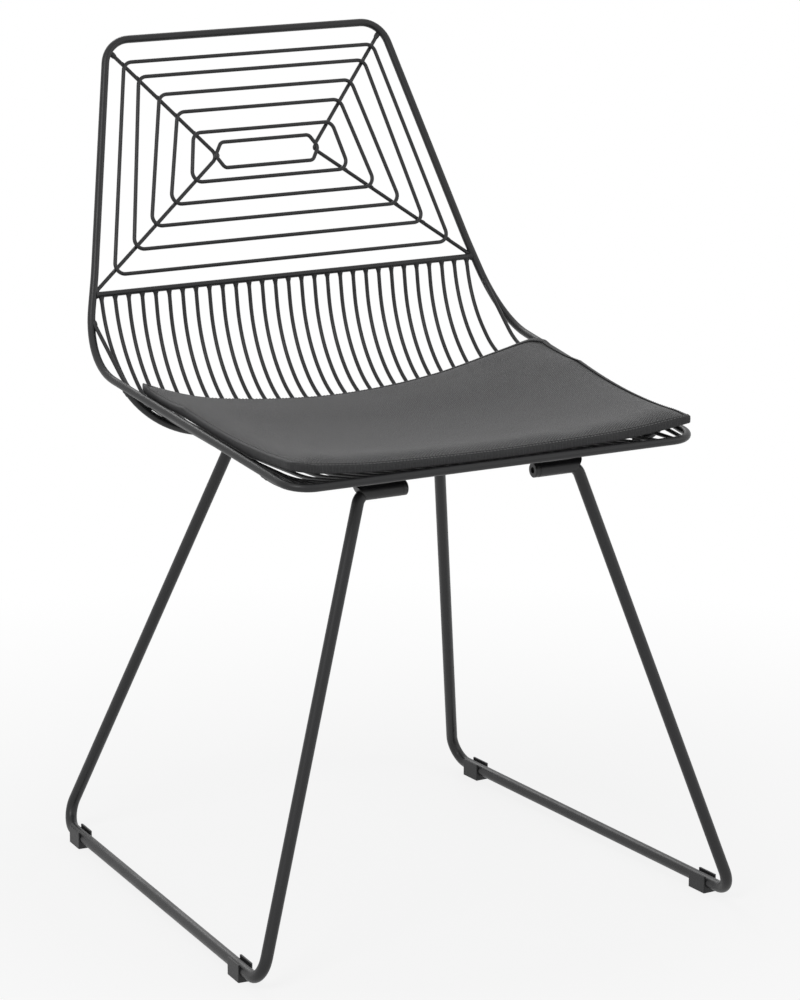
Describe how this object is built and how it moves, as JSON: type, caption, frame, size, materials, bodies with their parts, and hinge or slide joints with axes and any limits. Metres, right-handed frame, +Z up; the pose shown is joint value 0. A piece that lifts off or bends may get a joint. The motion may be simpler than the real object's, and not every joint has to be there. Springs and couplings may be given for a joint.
{
  "type": "wire mesh chair",
  "caption": "Black wire dining chair: a rod rim with a web of nested wire loops for the back, a dished seat of bent wires, two sled leg frames and a thin seat pad.",
  "frame": {"origin": "middle of the chair's outline, on the floor under the feet", "axes": "+Z up, +Y towards the back of the chair, -Y the way the sitter faces, +X the sitter's left as they sit, the chair's right as seen from in front"},
  "size_m": [0.5406, 0.5582, 0.8355],
  "materials": {
    "black_powder_coat": "satin black powder coat",
    "bolt_steel": "black oxide, satin",
    "foot_plastic": "black moulded plastic, fine texture",
    "pad_leather": "dark grey grained faux leather with sewn, piped edges",
    "pad_foam": "cut foam, hidden in the cover"
  },
  "bodies": {
    "chair": {"back_brace_left": "black_powder_coat", "back_brace_right": "black_powder_coat", "back_centre_loop": "black_powder_coat", "back_loop_1": "black_powder_coat", "back_loop_2": "black_powder_coat", "back_loop_3": "black_powder_coat", "back_loop_4": "black_powder_coat", "back_loop_5": "black_powder_coat", "crossbar": "black_powder_coat", "front_foot_left": "foot_plastic", "front_foot_right": "foot_plastic", "front_seat_rod": "black_powder_coat", "front_sleeve_left": "black_powder_coat", "front_sleeve_right": "black_powder_coat", "leg_bolts": "bolt_steel", "leg_frame_left": "black_powder_coat", "leg_frame_right": "black_powder_coat", "rear_foot_left": "foot_plastic", "rear_foot_right": "foot_plastic", "rear_seat_rod": "black_powder_coat", "rear_sleeve_left": "black_powder_coat", "rear_sleeve_right": "black_powder_coat", "rim_frame": "black_powder_coat", "seat_wire_01": "black_powder_coat", "seat_wire_02": "black_powder_coat", "seat_wire_03": "black_powder_coat", "seat_wire_04": "black_powder_coat", "seat_wire_05": "black_powder_coat", "seat_wire_06": "black_powder_coat", "seat_wire_07": "black_powder_coat", "seat_wire_08": "black_powder_coat", "seat_wire_09": "black_powder_coat", "seat_wire_10": "black_powder_coat", "seat_wire_11": "black_powder_coat", "seat_wire_12": "black_powder_coat", "seat_wire_13": "black_powder_coat", "seat_wire_14": "black_powder_coat", "seat_wire_15": "black_powder_coat", "seat_wire_16": "black_powder_coat", "seat_wire_17": "black_powder_coat", "seat_wire_18": "black_powder_coat", "seat_wire_19": "black_powder_coat", "seat_wire_20": "black_powder_coat", "seat_wire_21": "black_powder_coat", "seat_wire_22": "black_powder_coat", "seat_wire_23": "black_powder_coat", "seat_wire_24": "black_powder_coat", "seat_wire_25": "black_powder_coat", "seat_wire_26": "black_powder_coat", "seat_wire_27": "black_powder_coat", "seat_wire_28": "black_powder_coat", "seat_wire_29": "black_powder_coat", "side_wire_left": "black_powder_coat", "side_wire_right": "black_powder_coat"},
    "seat_pad": {"seat_pad_cover": "pad_leather", "seat_pad_foam": "pad_foam"}
  },
  "joints": [
    {"name": "seat_pad_lift", "type": "slide", "parent": "chair", "child": "seat_pad", "axis": [0, 0, 1], "range_m": [0, 0.12]}
  ]
}
